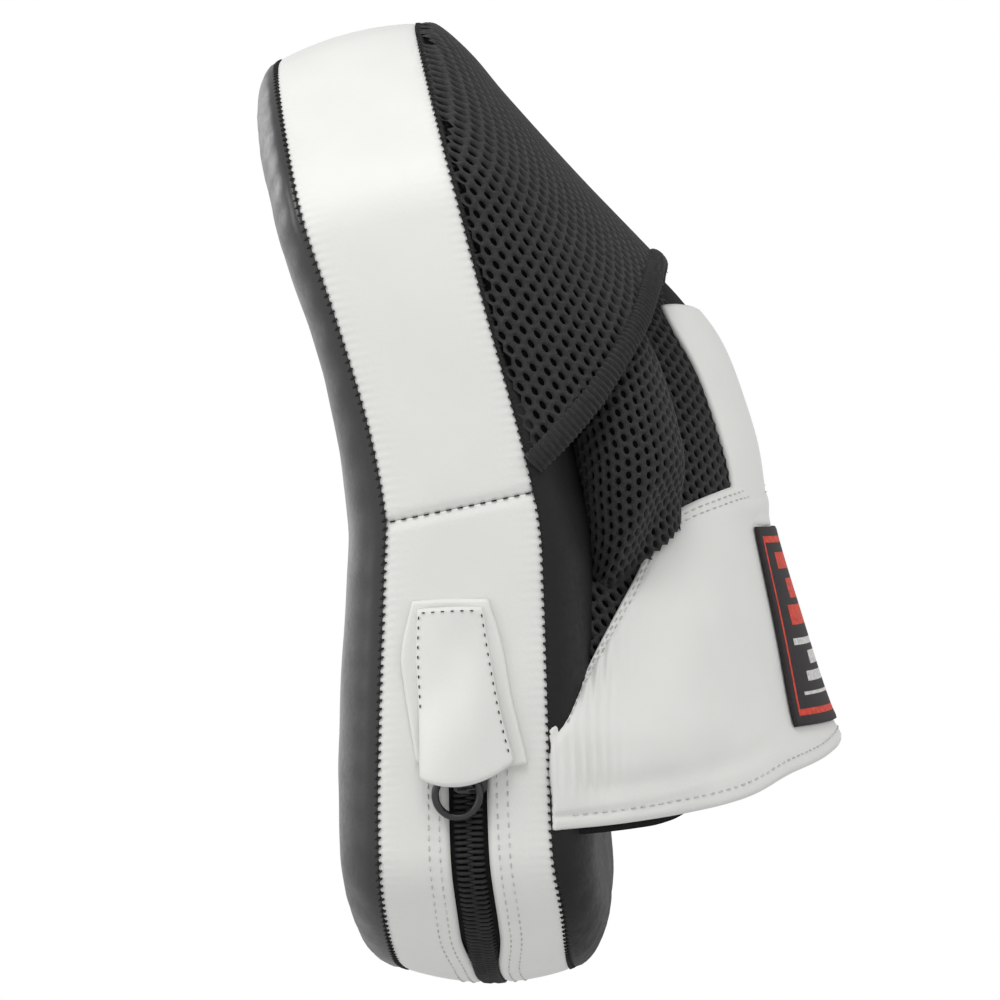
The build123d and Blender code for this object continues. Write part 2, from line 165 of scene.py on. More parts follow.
def make_outline(count=1440):
    """The pad's outline: x, station, outward normal and distance, from the bottom centre towards +X."""
    low = np.radians(np.linspace(-90, 0, 60))
    high = np.radians(np.linspace(0, 90, 80))
    side = np.linspace(LOW_CORNER, STATIONS - HIGH_CORNER, 160)
    top = STATIONS - HIGH_CORNER
    x = [np.linspace(0, LOW_HALF - LOW_CORNER, 40), LOW_HALF - LOW_CORNER + LOW_CORNER * np.cos(low),
         LOW_HALF + (HIGH_HALF - LOW_HALF) * fade(side, 100, 205),
         HIGH_HALF - HIGH_CORNER + HIGH_CORNER * np.cos(high), np.linspace(HIGH_HALF - HIGH_CORNER, 0, 40)]
    t = [np.zeros(40), LOW_CORNER + LOW_CORNER * np.sin(low), side,
         top + HIGH_CORNER * np.sin(high), np.full(40, STATIONS)]
    x, t = np.concatenate(x), np.concatenate(t)
    # The bottom and top edges bow a little, so the outline has no straight end.
    t = t + 5.5 * np.clip(1 - t / 60, 0, 1) ** 2 + 6 * (x / 51) ** 2 * np.clip(1 - t / 90, 0, 1) ** 2
    t = t - 1.5 * np.clip(1 - (STATIONS - t) / 60, 0, 1) ** 2
    t = t - 5.5 * (x / 40) ** 2 * np.clip(1 - (STATIONS - t) / 90, 0, 1) ** 2
    loop = np.stack([np.concatenate([x, -x[::-1]]), np.concatenate([t, t[::-1]])], axis=-1)
    along = run_along(loop)
    s = np.linspace(0, along[-1], count + 1)
    line = read_at(s, along, loop)
    ring = line[:-1]
    run = np.roll(ring, -3, axis=0) - np.roll(ring, 3, axis=0)
    normal = unit(np.stack([run[:, 1], -run[:, 0]], axis=-1))
    return line, np.vstack([normal, normal[:1]]), s


OUTLINE, OUTLINE_NORMAL, OUTLINE_S = make_outline()
AROUND = OUTLINE_S[-1]
HALF_COUNT = len(OUTLINE_S) // 2


def outline_at(s):
    s = np.mod(s, AROUND)
    return [np.interp(s, OUTLINE_S, column) for column in (*OUTLINE.T, *OUTLINE_NORMAL.T)]


def near_s(t):
    """Distance along the outline of a station on the +X side."""
    return np.interp(t, OUTLINE[:HALF_COUNT, 1], OUTLINE_S[:HALF_COUNT])


def band(s, w, lift=0.0):
    """Point on the white side band: s along the outline, w from 0 at the front seam to 1 at the rear one."""
    s, w, lift = np.broadcast_arrays(np.asarray(s, float), np.asarray(w, float), np.asarray(lift, float))
    x, t, normal_x, normal_t = outline_at(s)
    front, rear = seam(FRONT, t), seam(REAR, t)
    yz = front + (rear - front) * w[..., None]
    up, _ = pad_axes(t)
    across = np.clip(w, 0, 1)
    edge = np.minimum(across, 1 - across) * PUCKER_BAND
    swell = 1.2 + 2.8 * fade(t, 45, 4) + 1.2 * fade(t, 225, 262)
    out = lift + swell * (1 - (2 * across - 1) ** 2) - 0.7 * np.exp(-(edge / 1.3) ** 2)
    out = out - 0.16 * np.exp(-edge / 2.2) * np.cos(2 * math.pi * s / SEAM_PITCH)
    return np.stack([x + normal_x * out, yz[..., 0] + up[..., 0] * normal_t * out,
                     yz[..., 1] + up[..., 1] * normal_t * out], axis=-1)


def wobble(points, size, seed, strength):
    """Slow random height over points, for dents and slack, in millimetres."""
    flat = np.asarray(points, float).reshape(-1, 3)
    shift = Vector((seed * 7.3, seed * 3.1, seed * 1.7))
    read = np.array([noise.noise(Vector(p) / size + shift) for p in flat])
    return (strength * read).reshape(np.shape(points)[:-1])


def grid_normals(points, inside=MIDDLE):
    """Unit normals of a grid of points, on the side that looks away from an inner point."""
    normals = unit(np.cross(np.gradient(points, axis=1), np.gradient(points, axis=0)))
    outwards = ((points - np.array(inside)) * normals).sum(axis=-1).mean()
    return normals if outwards > 0 else -normals


def quads(rows, columns, start=0, around=False):
    """Quads of a grid of vertices, row by row, closed round its columns if asked."""
    index = np.arange(rows * columns).reshape(rows, columns) + start
    after = np.roll(index, -1, axis=1) if around else index[:, 1:]
    now = index if around else index[:, :-1]
    return np.stack([now[:-1], after[:-1], after[1:], now[1:]], axis=-1).reshape(-1, 4)


def piece(name, points, faces, material, body="mitt", slot=None, replaces=(), merge=0.0):
    """A mesh object made from millimetre points, riding on a body."""
    mesh = bpy.data.meshes.new(name)
    mesh.from_pydata(place(points).tolist(), [], [list(map(int, face)) for face in faces])
    shape = bmesh.new()
    shape.from_mesh(mesh)
    if merge:
        bmesh.ops.remove_doubles(shape, verts=shape.verts, dist=merge / 1000)
        bmesh.ops.dissolve_degenerate(shape, edges=shape.edges, dist=1e-6)
    bmesh.ops.recalc_face_normals(shape, faces=shape.faces)
    shape.to_mesh(mesh)
    shape.free()
    mesh.shade_smooth()
    for entry in material if isinstance(material, list) else [material]:
        mesh.materials.append(entry)
    obj = bpy.data.objects.new(name, mesh)
    bpy.context.scene.collection.objects.link(obj)
    if body:
        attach(obj, body)
    if replaces:
        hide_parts(*replaces)
    return obj


def skin(name, points, thickness, material, inside=MIDDLE, **more):
    """Closed sheet with a rounded rim, from a grid of points on its outer side."""
    rows, columns = points.shape[:2]
    normals = grid_normals(points, inside)
    outer = points.copy()
    for edge in ((0, slice(None)), (-1, slice(None)), (slice(None), 0), (slice(None), -1)):
        outer[edge] -= normals[edge] * thickness * 0.22
    inner = points - normals * thickness
    count = rows * columns
    faces = [*quads(rows, columns), *quads(rows, columns, count)[:, ::-1]]
    index = np.arange(count).reshape(rows, columns)
    rim = np.concatenate([index[0, :-1], index[:-1, -1], index[-1, :0:-1], index[::-1][:-1, 0]])
    after = np.roll(rim, -1)
    faces += list(np.stack([rim, after, after + count, rim + count], axis=-1))
    return piece(name, np.vstack([outer.reshape(-1, 3), inner.reshape(-1, 3)]), faces, material, **more)


def threads(name, paths, radius, material, sides=6, **more):
    """Many short round threads, each along its own few points, as one piece."""
    paths = np.asarray(paths, float)
    count, steps = paths.shape[:2]
    tangent = unit(np.gradient(paths, axis=1))
    side = np.broadcast_to(np.array([0.31, 0.57, 0.76]), tangent.shape)
    first = unit(np.cross(tangent, side))
    second = np.cross(tangent, first)
    angle = np.linspace(0, 2 * math.pi, sides, endpoint=False)
    taper = np.ones(steps)
    taper[[0, -1]] = 0.55
    ring = first[..., None, :] * np.cos(angle)[:, None] + second[..., None, :] * np.sin(angle)[:, None]
    points = paths[:, :, None, :] + ring * (radius * taper)[None, :, None, None]
    base = quads(steps, sides, around=True)
    starts = (np.arange(count) * steps * sides)[:, None, None]
    faces = [*(base[None] + starts).reshape(-1, 4)]
    cap = np.arange(sides)
    for offset in (0, (steps - 1) * sides):
        faces += list(cap[None] + offset + starts[:, 0])
    return piece(name, points.reshape(-1, 3), faces, material, **more)


def along_line(line, distances, values=None):
    """A polyline, or values given at its points, at distances along it."""
    steps = run_along(line)
    return read_at(distances, steps, line if values is None else values), steps[-1]


def stitch_row(line, normals, pitch, share=0.62, radius=0.3):
    """Paths of a row of lock stitches along a line that lies on a surface."""
    _, total = along_line(line, 0.0)
    centres = np.arange(pitch / 2, total - pitch / 4, pitch)
    offsets = np.array([-0.5, -0.34, 0, 0.34, 0.5]) * pitch * share
    lift = np.array([-0.9, 0.35, 0.75, 0.35, -0.9]) * radius
    distances = centres[:, None] + offsets
    points, _ = along_line(line, distances)
    out, _ = along_line(line, distances, normals)
    return points + out * lift[:, None]


# ---- materials

def nodes_of(name, color, roughness):
    material = bpy.data.materials.new(name)
    material.use_nodes = True
    tree = material.node_tree
    shader = tree.nodes["Principled BSDF"]
    shader.inputs["Base Color"].default_value = (*color, 1)
    shader.inputs["Roughness"].default_value = roughness
    return material, tree, shader


def texture(tree, kind, scale, **inputs):
    """A procedural texture read at object coordinates, which are metres."""
    where = tree.nodes.new("ShaderNodeTexCoord")
    node = tree.nodes.new(kind)
    node.inputs["Scale"].default_value = scale
    for name, value in inputs.items():
        node.inputs[name].default_value = value
    tree.links.new(where.outputs["Object"], node.inputs["Vector"])
    return node


def vary(tree, shader, socket, source, low, high, start=0.3, end=0.7):
    """Drives a shader socket from a texture, between two values or colours."""
    ramp = tree.nodes.new("ShaderNodeValToRGB")
    for element, at, value in zip(ramp.color_ramp.elements, (start, end), (low, high)):
        element.position = at
        element.color = (*(value if isinstance(value, tuple) else (value,) * 3), 1)
    tree.links.new(source, ramp.inputs["Fac"])
    tree.links.new(ramp.outputs["Color"], shader.inputs[socket])


def bump(tree, shader, layers):
    """Stacks bumps, each (texture output, strength, depth in metres)."""
    before = None
    for source, strength, depth in layers:
        node = tree.nodes.new("ShaderNodeBump")
        node.inputs["Strength"].default_value = strength
        node.inputs["Distance"].default_value = depth
        tree.links.new(source, node.inputs["Height"])
        if before:
            tree.links.new(before.outputs["Normal"], node.inputs["Normal"])
        before = node
    tree.links.new(before.outputs["Normal"], shader.inputs["Normal"])


def leather(name, color, roughness, grain, depth, coat=0.0, spread=0.06, gloss=0.5):
    """Coated synthetic leather: fine pebble grain, pores and faint tone changes."""
    material, tree, shader = nodes_of(name, color, roughness)
    shader.inputs["Specular IOR Level"].default_value = gloss
    shader.inputs["Coat Weight"].default_value = coat
    shader.inputs["Coat Roughness"].default_value = 0.3
    pebbles = texture(tree, "ShaderNodeTexVoronoi", 1000 / grain)
    pores = texture(tree, "ShaderNodeTexNoise", 520, Detail=4.0, Roughness=0.6)
    slack = texture(tree, "ShaderNodeTexNoise", 34, Detail=3.0, Roughness=0.5)
    dark = tuple(c * (1 - spread) for c in color)
    light = tuple(min(c * (1 + spread), 1) for c in color)
    vary(tree, shader, "Base Color", slack.outputs["Fac"], dark, light)
    vary(tree, shader, "Roughness", pores.outputs["Fac"], roughness - 0.06, roughness + 0.08)
    bump(tree, shader, [(slack.outputs["Fac"], 0.25, 0.0009), (pebbles.outputs["Distance"], 0.5, depth),
                        (pores.outputs["Fac"], 0.35, depth)])
    return material


def cloth(name, color, roughness, thread, depth, sheen=0.0, direction="X"):
    """Knitted or woven fabric: two crossing thread directions and a soft sheen."""
    material, tree, shader = nodes_of(name, color, roughness)
    shader.inputs["Sheen Weight"].default_value = sheen
    shader.inputs["Sheen Roughness"].default_value = 0.4
    shader.inputs["Specular IOR Level"].default_value = 0.3
    layers = []
    for axis in ("Z", direction):
        wave = texture(tree, "ShaderNodeTexWave", 1000 / (thread * 6.28) * 3.14, Distortion=0.6)
        wave.bands_direction = axis
        layers.append((wave.outputs["Fac"], 0.6, depth))
    fuzz = texture(tree, "ShaderNodeTexNoise", 900, Detail=3.0)
    layers.append((fuzz.outputs["Fac"], 0.4, depth))
    dark, light_tone = tuple(c * 0.7 for c in color), tuple(c * 1.35 for c in color)
    vary(tree, shader, "Base Color", fuzz.outputs["Fac"], dark, light_tone)
    bump(tree, shader, layers)
    return material


def hard(name, color, roughness, metallic):
    """Plated metal or moulded plastic with fine wear in its gloss."""
    material, tree, shader = nodes_of(name, color, roughness)
    shader.inputs["Metallic"].default_value = metallic
    wear = texture(tree, "ShaderNodeTexNoise", 260, Detail=5.0, Roughness=0.65)
    vary(tree, shader, "Roughness", wear.outputs["Fac"], max(roughness - 0.1, 0.05), roughness + 0.15)
    bump(tree, shader, [(wear.outputs["Fac"], 0.2, 0.00005)])
    return material


WHITE = leather("white_leather", (0.705, 0.705, 0.678), 0.5, 0.9, 0.00005, spread=0.025)
BLACK_FACE = leather("face_leather", (0.022, 0.022, 0.021), 0.42, 1.0, 0.00006, coat=0.3)
BLACK_BACK = leather("back_leather", (0.014, 0.014, 0.0135), 0.58, 1.1, 0.00008, gloss=0.2)
GRIP = leather("grip_leather", (0.02, 0.02, 0.02), 0.6, 1.6, 0.00015)
MESH = cloth("mesh_fabric", (0.026, 0.026, 0.0265), 0.75, 0.45, 0.00012, sheen=0.08)
LINING = cloth("lining_fabric", (0.006, 0.006, 0.0065), 0.9, 0.6, 0.0001)
OVERLOCK = cloth("overlock_thread", (0.016, 0.017, 0.0165), 0.7, 0.35, 0.00008, sheen=0.1)
TAPE = cloth("zip_tape_weave", (0.008, 0.008, 0.0085), 0.85, 0.5, 0.0001, direction="Y")
BLACK_THREAD = cloth("black_thread", (0.012, 0.012, 0.012), 0.65, 0.25, 0.00005)
GREY_THREAD = cloth("grey_thread", (0.55, 0.55, 0.535), 0.6, 0.25, 0.00005)
COIL = hard("zip_coil_plastic", (0.005, 0.005, 0.005), 0.62, 0.0)
METAL = hard("dark_metal", (0.06, 0.06, 0.062), 0.32, 0.9)
TOUCH = cloth("touch_fastener", (0.012, 0.012, 0.012), 0.95, 0.8, 0.0003, sheen=0.1)
LABEL_BLACK = cloth("label_black", (0.02, 0.015, 0.016), 0.7, 0.4, 0.00006, direction="Y")
LABEL_RED = cloth("label_red", (0.62, 0.045, 0.02), 0.65, 0.4, 0.00006, direction="Y")
LABEL_PALE = cloth("label_pale", (0.62, 0.62, 0.6), 0.65, 0.4, 0.00006, direction="Y")


# ---- covers and side band

def cover(name, side, height, rim, dome, material, slot, replaces, count=480):
    """Crowned cover of one side of the pad: rings from its seam to a spine, closed by a flat underside."""
    s = np.linspace(0, AROUND, count, endpoint=False)
    x, t, _, _ = outline_at(s)
    spine_t = np.clip(t, *SPINE)
    reach = np.hypot(x, t - spine_t)
    near = np.array([0, 0.5, 1.2, 2.2, 3.5, 5.2, 7.4, 10, 13, 16.5, 20.5, 25, 30])
    far = np.linspace(0, 1, 13)[1:, None]
    share = np.vstack([near[:, None] / reach, far * (1 - near[-1] / reach) + near[-1] / reach])
    ring_x = x - x * share
    ring_t = t + (spine_t - t) * share
    depth = np.clip(share * reach / rim, 0, 1)
    w = 0 if side < 0 else 1
    line = FRONT if side < 0 else REAR
    yz = seam(line, ring_t)
    _, out = pad_axes(ring_t)
    outwards = np.concatenate([np.zeros((*out.shape[:-1], 1)), out], axis=-1)
    # The dome is the same height all along the spine, where the rings meet.
    rise = height * np.sqrt(1 - (1 - depth) ** 2) + dome * np.sin(share * math.pi / 2)
    if side > 0:
        rise = rise * (1 - 0.8 * fade(ring_t, 146, 168))
    else:
        fuller = 0.3 * fade(ring_t, 175, 120) - 0.15 * fade(ring_t, 150, 185) + 0.15 * fade(ring_t, 215, 240)
        rise = rise + height * fuller * np.sqrt(1 - (1 - depth) ** 2)
    flat = np.stack([ring_x, yz[..., 0], yz[..., 1]], axis=-1)
    rise = rise + (wobble(flat, 46, 3 + w, 1.3) + wobble(flat, 17, 5 + w, 0.35)) * fade(depth, 0.1, 1)
    # Small puckers run in from the seam.
    pucker = np.sin(2 * math.pi * s / 11.0 + 2 * np.sin(s / 23.0)) * 0.35
    rise = rise + pucker * np.exp(-share * reach / 6) * fade(depth, 0, 0.2)
    top = flat + side * rise[..., None] * outwards
    under = flat[::-1] - side * 0.8 * outwards[::-1]
    under[-1] = flat[0]
    rows = len(share)
    points = np.vstack([top.reshape(-1, 3), under.reshape(-1, 3)])
    faces = [*quads(rows, count, around=True), *quads(rows, count, rows * count, around=True)]
    obj = piece(name, points, faces, material, slot=slot, replaces=replaces, merge=0.02)


def band_piece(name, starts, ends, columns, replaces):
    """One leather strip of the side band between two ends, each a function of w."""
    share = np.linspace(0, 1, columns)[None, :]
    w = np.linspace(0, 1, BAND_STEPS + 1)[:, None] + 0 * share
    s = starts(w) + (ends(w) - starts(w)) * share
    # The ends turn in a little where the strips are sewn to each other.
    run = ends(w) - starts(w)
    turned = 0.7 * (np.exp(-(share * run / 1.6) ** 2) + np.exp(-((1 - share) * run / 1.6) ** 2))
    return skin(name, band(s, w, -turned), LEATHER, WHITE, slot="white_leather", replaces=replaces)


def cross(w):
    """Station of the cross seam."""
    return CROSS_FRONT + (CROSS_REAR - CROSS_FRONT) * w


def near_cross(w):
    """Distance along the outline of the cross seam on the zipper side."""
    return near_s(cross(w))


def far_cross(w):
    """Distance along the outline of the cross seam on the far side."""
    return AROUND - near_cross(w)


def zip_half_gap(s):
    """Half of the opening over the zipper, in millimetres, at a distance along the outline."""
    return 0.6 + 4.1 * fade(s, -44, 20) - 1.9 * fade(s, 78, 55) + 1.9 * fade(s, 20, -20)


def zip_range():
    return ZIP_END_X, float(near_s(ZIP_TOP))


def near_band(zip_start, zip_end, columns=420):
    """The lower strips on the zipper side, which are one leather above the zipper and part beside it."""
    points, faces = [], []
    share = np.linspace(0, 1, columns)[None, :]
    half_rows = BAND_STEPS // 2 + 1
    for side in (-1, 1):
        rows = np.linspace(0, 1, half_rows)[:, None] ** 0.9
        edge_w = 0.0 if side < 0 else 1.0
        s = zip_start + (near_cross(0.5) - zip_start) * share
        gap = zip_half_gap(s) * fade(s, zip_end + 2, zip_end - 10)
        inner_w = ZIP_W + side * gap / ZIP_BAND
        w = edge_w + (inner_w - edge_w) * rows
        run = near_cross(w) - zip_start
        s = zip_start + run * share
        turned = 0.7 * np.exp(-((1 - share) * run / 1.6) ** 2) + 0.7 * np.exp(-(share * run / 1.6) ** 2)
        rolled = 0.55 * np.exp(-(np.abs(w - inner_w) * ZIP_BAND / 0.7) ** 2) * np.clip(gap, 0, 1)
        grid = band(s, w, -turned - rolled)
        faces += list(quads(half_rows, columns, len(points) * half_rows * columns))
        points.append(grid.reshape(-1, 3))
    obj = piece("side_band_near", np.vstack(points), faces, WHITE, slot="white_leather",
                replaces=("gusset_lower_front", "gusset_lower_rear"), merge=0.02)
    turn_outwards(obj)
    thicken = obj.modifiers.new("leather_thickness", "SOLIDIFY")
    thicken.thickness = LEATHER / 1000
    thicken.offset = -1
    return obj


def turn_outwards(obj):
    """Turns the normals of an open sheet away from the pad's middle."""
    shape = bmesh.new()
    shape.from_mesh(obj.data)
    middle = Vector(place(MIDDLE))
    if sum((face.calc_center_median() - middle).dot(face.normal) for face in shape.faces) < 0:
        bmesh.ops.reverse_faces(shape, faces=shape.faces)
    shape.to_mesh(obj.data)
    shape.free()


def side_band():
    """White side band: the upper strip over the top, and the lower strips round the zipper."""
    zip_start, zip_end = zip_range()
    strips = [
        band_piece("side_band_upper", near_cross, far_cross, 900, ("gusset_upper", "core_foam")),
        band_piece("side_band_far", far_cross, lambda w: AROUND + zip_start + 0 * w, 360,
                   ("gusset_lower_far",)),
        near_band(zip_start, zip_end),
    ]


def seam_bites():
    """Black thread that bites over the seams between the band and the two covers."""
    s = np.arange(0, AROUND - SEAM_PITCH / 2, SEAM_PITCH)
    paths = []
    for w_edge, side in ((0.0, 1), (1.0, -1)):
        reach = np.array([-1.0, -0.5, 0.2, 0.9, 1.25])
        lift = np.array([-0.5, 0.35, 0.75, 0.45, -0.3])
        slant = np.array([-0.35, -0.2, 0, 0.3, 0.45])
        paths.append(band(s[:, None] + slant, w_edge + side * reach / SEAM_BAND, lift))
    threads("cover_seam_stitches", np.vstack(paths), 0.33, BLACK_THREAD, slot="binding")


# ---- zipper and its garage

def zipper():
    """Woven tapes, coil teeth, end stop and the top-stitching beside the opening."""
    start, end = zip_range()
    s = np.linspace(start - 4, end + 3, 260)[None, :]
    for name, side in (("front", -1), ("rear", 1)):
        rows = (0.35 + np.linspace(0, 11, 9)[:, None]) * side
        points = band(s, ZIP_W + rows / ZIP_BAND, -1.9)
        tape = skin(f"zip_tape_{name}_weave", points, 0.6, TAPE, slot="zip_tape",
                    replaces=(f"zip_tape_{name}",))
        teeth = np.arange(start + 7, end, TOOTH_PITCH) + (TOOTH_PITCH / 2 if side > 0 else 0)
        across = np.array([3.1, 3.2, 2.4, 1.0, -0.35, -0.5]) * side
        lift = np.array([-1.6, -0.85, -0.3, -0.2, -0.5, -1.2])
        drift = np.array([0, 0, 0.05, 0.1, 0.15, 0.15])
        paths = band(teeth[:, None] + drift, ZIP_W + across / ZIP_BAND, lift)
        threads(f"zip_teeth_{name}", paths, 0.56, COIL, sides=8, slot="zip_coil",
                replaces=(f"zip_coil_{name}",))
    stop_s = np.linspace(start + 2, start + 6, 9)[None, :]
    stop_w = ZIP_W + np.linspace(-3.6, 3.6, 13)[:, None] / ZIP_BAND
    stop = band(stop_s, stop_w, -0.2 + 0.5 * np.cos(np.linspace(-1.4, 1.4, 13))[:, None])
    skin("zip_end_crimp", stop, 1.0, METAL, slot="zip_metal", replaces=("zip_end_stop",))
    rows = []
    s = np.linspace(start + 2, near_s(66), 400)
    for side in (-1, 1):
        for gap in (2.5, 5.1):
            w = ZIP_W + side * (zip_half_gap(s) + gap) / ZIP_BAND
            rows.append(stitch_row(band(s, w), band(s, w, 1) - band(s, w), 2.6, 0.55, 0.19))
    threads("zip_top_stitches", np.vstack(rows), 0.19, GREY_THREAD, slot="white_leather")


def flat_patch(left, right, top, bottom, rows=40, columns=30):
    """Grid of (Y, Z) between a left and a right edge line, whose ends are cut by top and bottom lines."""
    v = np.linspace(0, 1, rows)[:, None]
    u = np.linspace(0, 1, columns)[None, :]
    left_line, right_line = Curve(left), Curve(right)
    a = left_line.at(v[:, 0] * left_line.length)[:, None, :]
    b = right_line.at(v[:, 0] * right_line.length)[:, None, :]
    grid = a + (b - a) * u[..., None]
    bow = 4 * u * (1 - u)
    grid[..., 1] += bow * (top * (1 - v) ** 3 + bottom * v**3)
    return grid, u, v


def garage():
    """Patch over the zipper's top end, and the tongue over it that hides the slider."""
    side_x = LOW_HALF + 1.3
    grid, u, v = flat_patch([(-18.4, 106.2), (-21.0, 94), (-20.6, 86), (-17.4, 65.8)],
                            [(0.6, 106.8), (4.0, 96), (6.6, 82), (10.6, 65.4)], 0.2, -1.5)
    lift = 0.9 + 0 * u * v
    slack = wobble(np.dstack([grid, lift]), 14, 9, 0.3)
    patch = np.stack([side_x + lift + slack, grid[..., 0], grid[..., 1]], axis=-1)
    patch_piece = skin("zip_garage_base", patch, 1.0, WHITE, slot="white_leather",
                       replaces=("garage_patch",))
    grid, u, v = flat_patch([(-17.2, 104.2), (-17.5, 92), (-16.9, 78), (-16.6, 61.8)],
                            [(-0.6, 104.8), (1.6, 92), (4.4, 78), (7.6, 66.2)], 0.3, -3.6)
    dome = 1 - np.abs(2 * u - 1) ** 2.4
    free = fade(v, 0.45, 0.95)
    lift = 1.9 + dome * (0.9 + 3.3 * fade(v, 0.1, 0.8)) + free * (1.2 + 1.0 * (1 - u))
    lift = lift + 0.35 * np.sin(9 * v + 3 * u) * dome
    tongue = np.stack([side_x + lift, grid[..., 0], grid[..., 1]], axis=-1)
    tongue_piece = skin("zip_garage_tongue", tongue, 1.3, WHITE, slot="white_leather",
                        replaces=("garage_tongue",))
    outward = np.array([1.0, 0, 0])
    rows = []
    for line in (tongue[1, 1:-1], tongue[1:24, 1], tongue[1:-2, -2]):
        rows.append(stitch_row(line + 0.2 * outward, outward + 0 * line, 2.45, 0.3, 0.17))
    # These stitches use the black thread. Its dark colour partly stands in for the shade in the needle holes,
    # so it is partly painted shade.
    threads("garage_stitches", np.vstack(rows), 0.17, BLACK_THREAD, slot="binding")


def cross_stitches():
    """Dark stitches along the seam across the side band, on both sides."""
    w = np.linspace(0.03, 0.97, 60)
    rows = []
    for s in (near_cross(w), far_cross(w)):
        line = band(s, w, -0.45)
        rows.append(stitch_row(line, band(s, w, 1) - band(s, w), 2.9, 0.45, 0.2))
    threads("band_cross_stitches", np.vstack(rows), 0.2, BLACK_THREAD, slot="binding")


# ---- glove

GLOVE_LINE = Curve(GLOVE)


def edge_line(points):
    """Edge height at a Y, as a function, from (Y, Z) points."""
    curve = Curve(points)
    return lambda y: np.interp(y, curve.line[:, 0], curve.line[:, 1])


CUFF_TOP = edge_line(CUFF_UPPER)
CUFF_BOTTOM = edge_line(CUFF_LOWER)


class Shell:
    """Surface read by a height-like row value and the distance along each row from its middle."""

    def __init__(self, rows, point, inside=None, steps=181):
        self.rows = np.asarray(rows, float)
        angle = np.linspace(0, math.pi, steps)
        table = point(self.rows[:, None], angle[None, :])
        self.fraction = np.linspace(-1, 1, 121)
        spread = []
        self.half = []
        for line in table:
            along = run_along(line)
            half = along[-1] / 2
            self.half.append(half)
            spread.append(read_at((self.fraction + 1) * half, along, line))
        self.table = np.array(spread)
        self.half = np.array(self.half)
        self.normals = grid_normals(self.table, inside or MIDDLE)

    def at(self, row, along, lift=0.0):
        """Points at row values and distances along the row, positive towards -X, raised by lift."""
        row, along, lift = np.broadcast_arrays(*(np.asarray(values, float) for values in (row, along, lift)))
        r = np.interp(row, self.rows, np.arange(len(self.rows)))
        f = np.clip(along / np.interp(row, self.rows, self.half), -1, 1)
        c = (f + 1) / 2 * (len(self.fraction) - 1)
        r0 = np.clip(r.astype(int), 0, len(self.rows) - 2)
        c0 = np.clip(c.astype(int), 0, len(self.fraction) - 2)
        u, v = (r - r0)[..., None], (c - c0)[..., None]
        out = []
        for table in (self.table, self.normals):
            low = table[r0, c0] * (1 - v) + table[r0, c0 + 1] * v
            high = table[r0 + 1, c0] * (1 - v) + table[r0 + 1, c0 + 1] * v
            out.append(low * (1 - u) + high * u)
        return out[0] + unit(out[1]) * lift[..., None]

    def half_at(self, row):
        return np.interp(row, self.rows, self.half)


def glove_point(z, angle):
    """Point of the glove's outer surface: height, and the angle round from +X over the back to -X."""
    half, rearmost, power = (GLOVE_LINE.by_first(z, column) for column in (1, 2, 3))
    base = np.interp(z, REAR.line[:, 1], REAR.line[:, 0])
    cosine = np.cos(angle)
    # The cuff flares out to the pad's sides at its foot.
    flare = np.clip(1 - np.sin(angle), 0, 1) ** 8
    x = half * cosine + np.sign(cosine) * (LOW_HALF + 0.4 - half) * flare * fade(z, 90, 76)
    y = base + (rearmost - base) * np.sqrt(np.maximum(1 - np.abs(cosine) ** power, 0))
    return np.stack(np.broadcast_arrays(x, y, z), axis=-1)


def thumb_point(z, angle):
    """Point of the thumb sleeve, all the way round as the angle runs from 0 to half a turn."""
    line = Curve(THUMB)
    x, half, y, depth = (line.by_first(z, column) for column in (1, 2, 3, 4))
    turn = 2 * angle
    # The sleeve narrows and moves in where it goes under the cuff.
    tuck = fade(z - CUFF_TOP(y - depth * np.sin(turn)), 14, -1)
    side_x = x - 7 * tuck - half * (1 - 0.25 * tuck) * np.cos(turn)
    return np.stack(np.broadcast_arrays(side_x, y - depth * (1 - 0.12 * tuck) * np.sin(turn), z), axis=-1)


def hood_point(distance, angle):
    """Point of the finger hood: distance up the upper leg, and the angle from +X over the ridge to -X."""
    height = Curve(HOOD).by_first(distance, 1)
    station = STATIONS - UPPER_LEG + distance
    half = np.interp(station, OUTLINE[:HALF_COUNT, 1], OUTLINE[:HALF_COUNT, 0])
    x = half * np.cos(angle)
    n = height * np.sin(angle) ** 0.92
    start = seam(REAR, station)
    return np.stack(np.broadcast_arrays(x, start[..., 0] + OUT[0] * n, start[..., 1] + OUT[1] * n), axis=-1)


GLOVE_SHELL = Shell(np.linspace(GLOVE[0][0], GLOVE[-1][0], 93), glove_point)
HOOD_SHELL = Shell(np.concatenate([np.linspace(-12, 120, 67), np.linspace(122, 136.6, 16)]), hood_point)
THUMB_SHELL = Shell(np.linspace(92, 184, 64), thumb_point, THUMB_MIDDLE)
HOOD_EDGE_LINE = Curve(HOOD_EDGE)


def hood_height(points):
    """Rough distance of points inside the hood's opening edge, which is given as (Z, Y)."""
    return (HOOD_EDGE_LINE.by_first(points[..., 2], 1) - points[..., 1]) * 0.8


